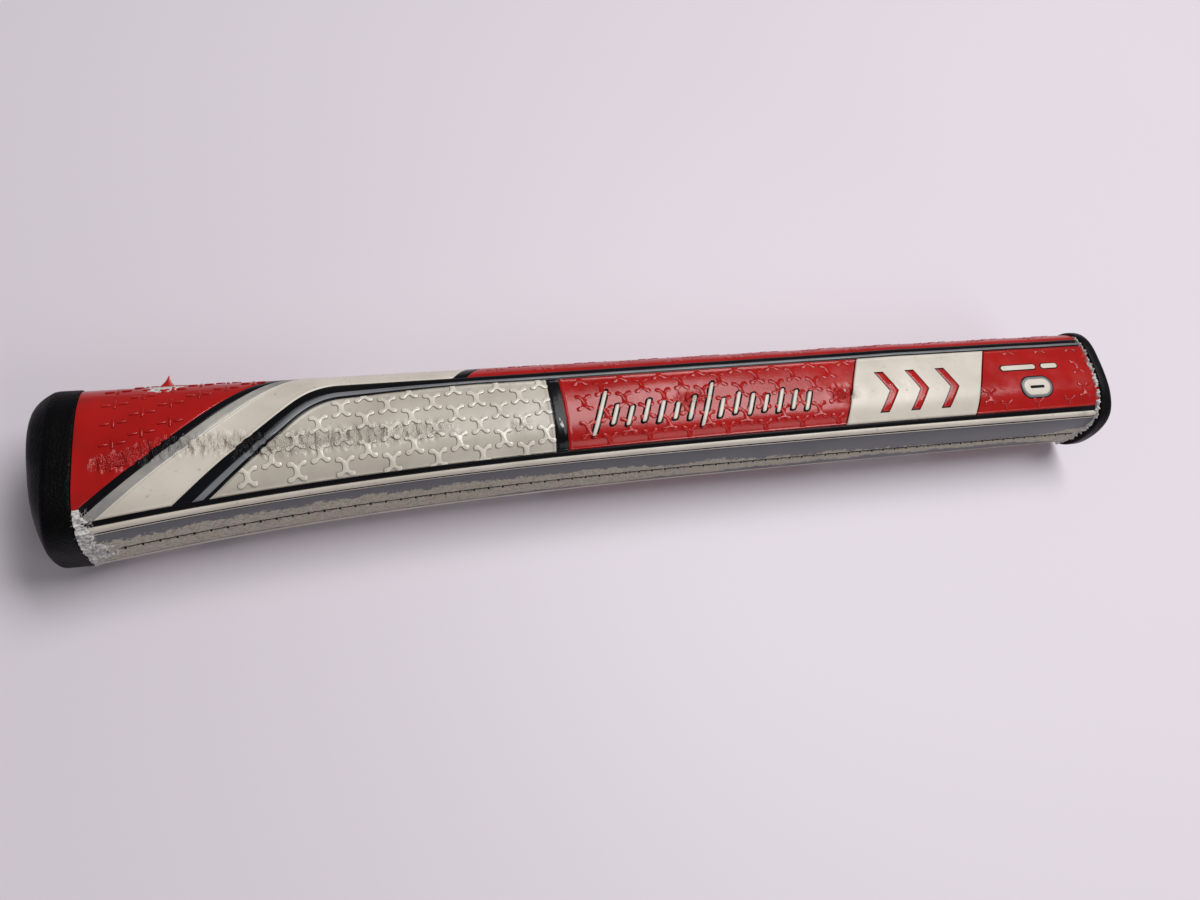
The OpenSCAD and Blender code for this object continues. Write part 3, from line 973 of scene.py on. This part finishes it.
def tube(points_list, radius, sides=6):
    """Rings of a round thread along points, as (points, faces)."""
    p = np.asarray(points_list, float)
    along = np.gradient(p, axis=0)
    along /= np.linalg.norm(along, axis=1, keepdims=True)
    up = np.where(np.abs(along[:, :1]) < 0.9, [[1.0, 0, 0]], [[0, 1.0, 0]])
    a = np.cross(along, up)
    a /= np.linalg.norm(a, axis=1, keepdims=True)
    b = np.cross(along, a)
    turn = full_turn(sides)
    radius = np.broadcast_to(radius, len(p))[:, None, None]
    ring = p[:, None] + radius * (np.cos(turn)[None, :, None] * a[:, None]
                                  + np.sin(turn)[None, :, None] * b[:, None])
    return shell(ring)


def joined(parts):
    """Many small point-and-face parts as one."""
    points, faces, count = [], [], 0
    for part_points, part_faces in parts:
        points.append(part_points)
        faces += [tuple(i + count for i in face) for face in part_faces]
        count += len(part_points)
    return np.concatenate(points), faces


def solid(name, part, finish, **how):
    make_piece(name, *part, [finish], **how)


def seam_stitches(name):
    """Short threads pulled down across the slit, and the thread that runs along inside it."""
    parts = []
    count = int((X_MOUTH - 4 - STITCH_START) / STITCH_PITCH)
    across = np.linspace(-STITCH_REACH, STITCH_REACH, 9)
    lean = 0.16 * np.sin(across / STITCH_REACH)
    rise = 0.12 - 0.2 * (across / STITCH_REACH) ** 2
    for i in range(count + 1):
        x = STITCH_START + i * STITCH_PITCH
        base = terrain(np.full(len(across), x), np.where(np.abs(across) < 0.3, 0.3, across))
        parts.append(tube(place(x + lean, across, base + rise), STITCH_R))
    xs = np.arange(X_BUTT + 1, X_MOUTH - 1, 1.0)
    parts.append(tube(place(xs, 0, -0.5), INNER_THREAD_R))
    solid(name, joined(parts), THREAD_AND_SLIT_SHADE, slot="thread", stands_for=["seam_thread"])


seam_stitches("seam_stitches")


# ---- Worn places ----

def ragged(length, width, seed, count=26, rough=0.22):
    """A closed outline with torn edges."""
    rng = np.random.default_rng(seed)
    turn = full_turn(count)
    size = 1 + rough * (rng.random(count) * 2 - 1)
    return np.column_stack([length / 2 * np.cos(turn) * size, width / 2 * np.sin(turn) * size])


def loose_fibres(x_range, d_range, count, seed, length=(0.8, 2.2), radius=0.035):
    """Fine curling fibres standing out of torn felt."""
    rng = np.random.default_rng(seed)
    parts = []
    for _ in range(count):
        x, d = rng.uniform(*x_range), rng.uniform(*d_range)
        reach = rng.uniform(*length)
        heading, lift = rng.uniform(0, 2 * np.pi), rng.uniform(0.15, 0.55)
        t = np.linspace(0, 1, 6)
        curl = rng.uniform(-1.4, 1.4) * t
        px = x + reach * t * np.cos(heading + curl) * 0.6
        pd = d + reach * t * np.sin(heading + curl) * 0.6
        ph = -0.05 + lift * np.sin(np.pi * 0.75 * t)
        parts.append(tube(place(px, pd, terrain(px, pd) + ph), radius * (1.1 - 0.7 * t), 4))
    return parts


def torn_strip(name, edge, way, reach, seed):
    """Rough bare backing along an end of the wrap, from the edge x inward; reach: (d, how far)."""
    mesh = Mesh()
    d0, d1 = reach[0][0], reach[-1][0]
    us = np.arange(0, max(r for _, r in reach) + 1.6, TORN_STEP)
    ds = np.arange(d0, d1, TORN_STEP)
    u, d = np.meshgrid(us, ds, indexing="ij")
    far = np.interp(d, *zip(*reach)) * (1 + 0.45 * noise(d / 1.3, 0 * d, seed))
    far = far + 0.5 * noise(u / 0.9, d / 0.6, seed + 1) + 0.25 * noise(u / 0.4, d / 0.33, seed + 2)
    inside = ease((far - u) / 0.5) * ease((d - d0) / 0.6) * ease((d1 - d) / 0.6)
    lump = 0.3 + 0.36 * noise(u / 0.7, d / 0.55, seed + 3) + 0.3 * noise(u / 0.34, d / 0.3, seed + 4)
    start = mesh.points(edge + way * u, d, -0.3 + inside * (0.3 + np.clip(lump, -0.1, 0.8)))
    mesh.grid(start, len(us), len(ds))
    mesh.face([start + i for i in rim_of(len(us), len(ds))])
    mesh.build(name, [NAP], slot="felt")


TORN_STEP = 0.15
torn_strip("frayed_butt_corner", X_BUTT + 0.1, 1, (
    (-7.5, 0.3), (-5, 1.6), (-1, 4.6), (2, 5.2), (5, 3.6), (10, 3.2), (12.6, 2.4), (14.6, 1.0)), 21)
torn_strip("frayed_mouth_edge", X_MOUTH - 0.1, -1, (
    (-33, 0.2), (-20, 0.6), (-6, 1.0), (0, 1.7), (4, 1.3), (9, 0.9), (14, 1.0), (22, 1.0), (28, 0.8),
    (34, 0.2)), 31)


fray = loose_fibres((X_BUTT + 0.3, X_BUTT + 3.4), (0.3, 13.5), 260, 31, length=(0.6, 1.8))
fray += loose_fibres((X_BUTT + 0.3, X_BUTT + 4), (-6, 1), 120, 32)
fray += loose_fibres((X_MOUTH - 1.4, X_MOUTH - 0.2), (0.5, 32), 130, 33, length=(0.4, 1.0))
fray += loose_fibres((X_BUTT + 4, X_BUTT + 90), (2.6, 5.6), 320, 34, length=(0.3, 0.8), radius=0.025)
solid("loose_fibres", joined(fray), NAP, slot="felt")


def torn_flap(name):
    """Skin torn open near the front edge of the butt: bare backing and a lifted tongue."""
    mesh = Mesh()
    x, d = -240.6, 42.3
    stamp(mesh, (x, d), ragged(7.0, 4.6, 41, 30, 0.16), ((0.15, -0.05), (0.0, 0.06), (-0.5, 0.1)))
    for k, (dx, dd, size) in enumerate(((-3.2, -0.6, 1.4), (2.9, 1.0, 1.7), (0.4, -2.3, 1.2))):
        stamp(mesh, (x + dx, d + dd), ragged(size, size * 0.7, 42 + k, 14, 0.3),
              ((0.1, -0.05), (0.0, 0.12), (-0.25, 0.2)), 1, 1)
    rows, cols = 9, 9
    t, u = np.meshgrid(np.linspace(0, 1, rows), np.linspace(-1, 1, cols), indexing="ij")
    tongue_x = x + 0.5 + u * (2.2 * (1 - t) ** 1.6 + 0.1) + 0.5 * t
    tongue_d = d + 0.9 + 1.1 * t
    tongue_h = 0.15 + 2.3 * t ** 1.3 - 0.35 * u * u * (1 - t)
    top = mesh.points(tongue_x, tongue_d, tongue_h)
    low = mesh.points(tongue_x, tongue_d - 0.28, tongue_h - 0.12)
    mesh.grid(top, rows, cols, 1)
    mesh.grid(low, rows, cols, 1)
    rim = rim_of(rows, cols)
    for a, b in zip(rim, rim[1:] + rim[:1]):
        mesh.face((top + a, top + b, low + b, low + a))
    mesh.build(name, [NAP, RED])


torn_flap("torn_flap")


def chips(name):
    """Small bare chips in the print."""
    mesh = Mesh()
    for k, (x, d, size) in enumerate(((-154.6, 17.6, 1.5), (-155.0, 19.0, 0.7), (-80.4, 20.3, 0.9))):
        stamp(mesh, (x, d), ragged(size * 0.45, size, 60 + k, 14, 0.35),
              ((0.05, -0.04), (0.0, 0.17), (-0.08, 0.19)))
    mesh.build(name, [NAP])


chips("bare_chips")


# ---- Rubber ends, port and plug: rings round a section or round the bore ----

AROUND = 192


def section_ring(x, at_x, out, draw=None):
    """A ring of the wrap's section at at_x, placed at x and moved out."""
    top = float(front(at_x))
    d = np.linspace(-top, top, AROUND, endpoint=False)
    out = out - (draw(np.abs(d)) if draw else 0)
    p = place(np.full(AROUND, float(at_x)), d, out + 0 * d)
    p[:, 0] = x
    return p


def round_ring(x, radius, like=None):
    """A circle round the bore whose points face those of a section ring."""
    if like is None:
        turn = np.linspace(-np.pi, np.pi, AROUND, endpoint=False)
        flat = np.stack([-np.cos(turn), np.sin(turn)], axis=1)
    else:
        flat = like[:, 1:] / np.linalg.norm(like[:, 1:], axis=1, keepdims=True)
    return np.column_stack([np.full(len(flat), float(x)), flat * radius])


def extent(cad_name):
    """A turned CAD piece's two ends along the bore, and its radius."""
    low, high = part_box(cad_name)
    return low.x / MM, high.x / MM, (high.y - low.y) / 2 / MM


PORT_X, PORT_END, FLANGE_R = extent("port_insert")
PLUG_X, PLUG_END, HEAD_R = extent("port_plug")
GASKET_X, GASKET_END, _ = extent("plug_gasket")
BORE_R = 7.37
PORT_R, SHANK_R = 7.8, 4.8
CAP_SPIGOT_R, CAP_SPIGOT_END = 10.2, X_BUTT + 4.7
CAP_LIP, DOME_HEEL, DOME_SIDE, DOME_FULL = 0.3, 3.2, 4.6, 2.2
RING_HEEL, RING_LIP = 1.6, 0.6
RING_DRAW_HEEL, RING_DRAW_FRONT = 0.2, 2.2


def butt_cap(name):
    rings = [round_ring(CAP_SPIGOT_END, CAP_SPIGOT_R - 0.3)]
    rings += [round_ring(CAP_SPIGOT_END - 0.3, CAP_SPIGOT_R), round_ring(X_BUTT + 0.1, CAP_SPIGOT_R)]
    rings += [section_ring(X_BUTT, X_BUTT, -1.2), section_ring(X_BUTT, X_BUTT, -0.05)]
    for back, out in ((0.1, 0.16), (0.35, 0.28), (0.7, 0.3), (1.3, 0.3), (2.0, 0.3)):
        rings.append(section_ring(X_BUTT - back, X_BUTT, out))
    top = float(front(X_BUTT))
    around = np.abs(np.linspace(-top, top, AROUND, endpoint=False))
    dome = lerp(DOME_HEEL, DOME_SIDE, ease(around / 18))
    for back, out in ((0.9, 0.3), (0.5, 0.28), (0.15, 0.21)):
        ring = section_ring(0, X_BUTT, out)
        ring[:, 0] = X_END + dome + back
        rings.append(ring)
    rim = section_ring(0, X_BUTT, CAP_LIP)
    circle = round_ring(0, FLANGE_R + 0.35, rim)
    for t in (0.03, 0.07, 0.12, 0.18, 0.25, 0.33, 0.43, 0.54, 0.66, 0.78, 0.9, 1.0):
        ring = lerp(rim, circle, t)
        ring[:, 0] = X_END + dome * (1 - t) ** DOME_FULL
        rings.append(ring)
    rings += [round_ring(X_END + 0.12, FLANGE_R + 0.08, rim)]
    rings += [round_ring(PORT_X + 1.4, FLANGE_R + 0.06, rim)]
    rings += [round_ring(PORT_X + 1.4, PORT_R + 0.1, rim)]
    rings += [round_ring(CAP_SPIGOT_END, PORT_R + 0.1, rim)]
    solid(name, looped(rings), CAP_RUBBER, slot="cap", stands_for=["butt_cap"])


def ring_out(a):
    return lerp(RING_HEEL, RING_LIP, ease(a / 14))


def ring_draw(a):
    return lerp(RING_DRAW_HEEL, RING_DRAW_FRONT, ease((a - 7) / 14))


def mouth_ring(name):
    # Parts of the ring's length, of its stand-off and of its draw-in
    steps = ((0, -1.2, 0), (0, 0.12, 0), (0.02, 0.5, 0), (0.06, 0.78, 0), (0.11, 0.94, 0), (0.18, 1, 0),
             (0.35, 1, 0), (0.52, 1, 0.01), (0.66, 1, 0.06), (0.78, 0.98, 0.18), (0.88, 0.92, 0.38),
             (0.95, 0.84, 0.62), (0.99, 0.76, 0.84), (1, 0.7, 1))
    length = X_FACE - X_MOUTH
    rings = [round_ring(X_MOUTH - 4.9, BORE_R + 0.05), round_ring(X_MOUTH - 4.9, 9.1)]
    rings += [round_ring(X_MOUTH - 4.7, 9.4), round_ring(X_MOUTH - 0.1, 9.4)]
    for along, out, draw in steps:
        shape = lambda d: ring_draw(d) * draw - ring_out(d) * out
        rings.append(section_ring(X_MOUTH + along * length, X_MOUTH, 0, shape))
    face = rings[-1]
    lip = round_ring(X_FACE, BORE_R + 1.3, face)
    rings += [lerp(face, lip, 0.5), lip, round_ring(X_FACE, BORE_R + 0.55, face)]
    rings += [round_ring(X_FACE - 0.15, BORE_R + 0.2, face), round_ring(X_FACE - 0.5, BORE_R + 0.05, face)]
    solid(name, looped(rings), RING_RUBBER, slot="ring", stands_for=["mouth_ring"])


def lathe(profile, turns=96):
    """Rings round the bore at (x, radius); a radius may vary round its ring."""
    turn = full_turn(turns)
    return [np.column_stack([np.full(turns, float(x)), r * np.cos(turn), r * np.sin(turn)])
            for x, r in profile]


THREAD_PITCH, THREAD_DEPTH = 2.0, 0.55


def threaded(x_from, x_to, radius, depth, turns=64, per_pitch=10):
    """Rings of a right-hand screw thread: the crest walks round as x runs on."""
    count = int(round((x_to - x_from) / THREAD_PITCH * per_pitch))
    turn = full_turn(turns)
    profile = []
    for i in range(count + 1):
        x = lerp(x_from, x_to, i / count)
        phase = (x / THREAD_PITCH - turn / (2 * np.pi)) % 1
        crest = np.clip(1.6 - 3.6 * np.abs(phase - 0.5) * 1.25, 0, 1)
        fade = min(1, (x - x_from) / 0.8, (x_to - x) / 0.8)
        profile.append((x, radius - depth * (1 - crest * max(0.0, fade))))
    return lathe(profile, turns)


def port_socket(name):
    seat = GASKET_END + 0.02
    outer = [(PORT_X + 0.25, FLANGE_R), (PORT_X, FLANGE_R - 0.25), (PORT_X, HEAD_R + 0.75),
             (PORT_X + 0.15, HEAD_R + 0.45), (PORT_X + 0.4, HEAD_R + 0.3), (seat, HEAD_R + 0.3)]
    inner_r = SHANK_R + 0.07
    rings = lathe(outer, 64) + lathe([(seat, inner_r + 0.3)], 64)
    rings += threaded(seat + 0.3, seat + 7.9, inner_r + THREAD_DEPTH, THREAD_DEPTH)
    rings += lathe([(seat + 8.6, inner_r), (seat + 8.6, 0.6), (PORT_END, 0.6), (PORT_END, PORT_R - 0.3),
                    (PORT_END - 0.3, PORT_R), (PORT_X + 1.3, PORT_R), (PORT_X + 1.3, FLANGE_R - 0.1),
                    (PORT_X + 1.2, FLANGE_R)], 64)
    solid(name, looped(rings), PORT_PLASTIC, slot="insert", stands_for=["port_insert"])


def plug_washer(name):
    lo, hi = GASKET_X, GASKET_END
    r0, r1 = SHANK_R + 0.09, HEAD_R - 0.02
    profile = [(lo, r0 + 0.15), (lo + 0.15, r0), (hi - 0.15, r0), (hi, r0 + 0.15), (hi, r1 - 0.25),
               (hi - 0.25, r1), (lo + 0.25, r1), (lo, r1 - 0.25)]
    solid(name, looped(lathe(profile)), WASHER_RUBBER, body="gasket", slot="gasket",
          stands_for=["plug_gasket"])


KEY_AF = 6.0


def hex_radius(turn):
    return KEY_AF / 2 / np.cos((turn + np.pi / 6) % (np.pi / 3) - np.pi / 6)


def plug_screw(name):
    """Head with notched edge, key socket and a threaded shank."""
    head_end = GASKET_X - 0.03
    turns = 192
    turn = full_turn(turns)
    notch = np.clip(np.cos(24 * turn) * 2.2, -1, 1)
    hexed = hex_radius(turn)
    grip_r = HEAD_R - 0.2 + 0.14 * notch
    rings = lathe([
        (PLUG_X + 4.3, hexed * 0.02), (PLUG_X + 4.0, hexed * 0.5), (PLUG_X + 3.4, hexed),
        (PLUG_X + 0.4, hexed), (PLUG_X + 0.1, hexed + 0.22), (PLUG_X + 0.1, hexed + 0.9),
        (PLUG_X + 0.1, 4.7), (PLUG_X, 4.85), (PLUG_X, HEAD_R - 0.75),
        (PLUG_X + 0.08, HEAD_R - 0.4 + 0.05 * notch), (PLUG_X + 0.35, grip_r),
        (head_end - 0.25, grip_r), (head_end, HEAD_R - 0.4), (head_end, SHANK_R - 0.1)], turns)
    rings += threaded(head_end + 0.1, PLUG_END - 0.4, SHANK_R, THREAD_DEPTH, turns)
    rings += lathe([(PLUG_END, SHANK_R - THREAD_DEPTH - 0.35)], turns)
    solid(name, shell(rings), PLUG_PLASTIC, body="plug", slot="plug", stands_for=["port_plug"])


butt_cap("cap_shell")
mouth_ring("mouth_collar")
port_socket("port_socket")
plug_washer("plug_washer")
plug_screw("plug_screw")

# The CAD pieces that stay get their own finishes
for cad_name, finish in (("foam_core", FOAM), ("felt_backing", FELT), ("seam_tape", TAPE)):
    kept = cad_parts[cad_name]
    kept.data.materials.clear()
    kept.data.materials.append(finish)


# ---- Floor, light and camera, in metres ----

def floor(name):
    half = 3.0
    mesh = bpy.data.meshes.new(name)
    corners = [(x, y, FLOOR_Z) for x, y in ((-half, -half), (half, -half), (half, half), (-half, half))]
    mesh.from_pydata(corners, [], [(0, 1, 2, 3)])
    mesh.materials.append(paper("pale_paper"))
    add_object(name, mesh)


def area_light(name, place_at, aim, size, power):
    data = bpy.data.lights.new(name, "AREA")
    data.shape = "RECTANGLE"
    data.size, data.size_y = size
    data.energy = power
    lamp = add_object(name, data)
    way = np.array(aim, float) - np.array(place_at, float)
    lamp.location = place_at
    lamp.rotation_euler = (math.atan2(math.hypot(way[0], way[1]), -way[2]), 0,
                           math.atan2(way[1], way[0]) - math.pi / 2)


floor("floor")
world = bpy.data.worlds.new("studio")
world.use_nodes = True
sky = world.node_tree.nodes["Background"].inputs
sky["Color"].default_value = (0.98, 0.96, 1.0, 1.0)
sky["Strength"].default_value = 0.22
bpy.context.scene.world = world
bpy.context.scene.view_settings.view_transform = "Standard"
area_light("key", (0.28, 0.22, 0.95), (-0.1, 0, 0), (0.8, 0.42), 9.4)
area_light("front", (0.25, -0.65, 0.6), (-0.13, 0, 0), (0.5, 0.35), 1.3)

camera_data = bpy.data.cameras.new("camera")
camera_data.sensor_width = 36
camera_data.lens = 28.35
camera_data.clip_start = 0.01
camera = add_object("camera", camera_data)
camera.location = (-0.2030, -0.1015, 0.2046)
camera.rotation_mode = "ZYX"
camera.rotation_euler = (0.428, -0.261, -0.079)
bpy.context.scene.camera = camera
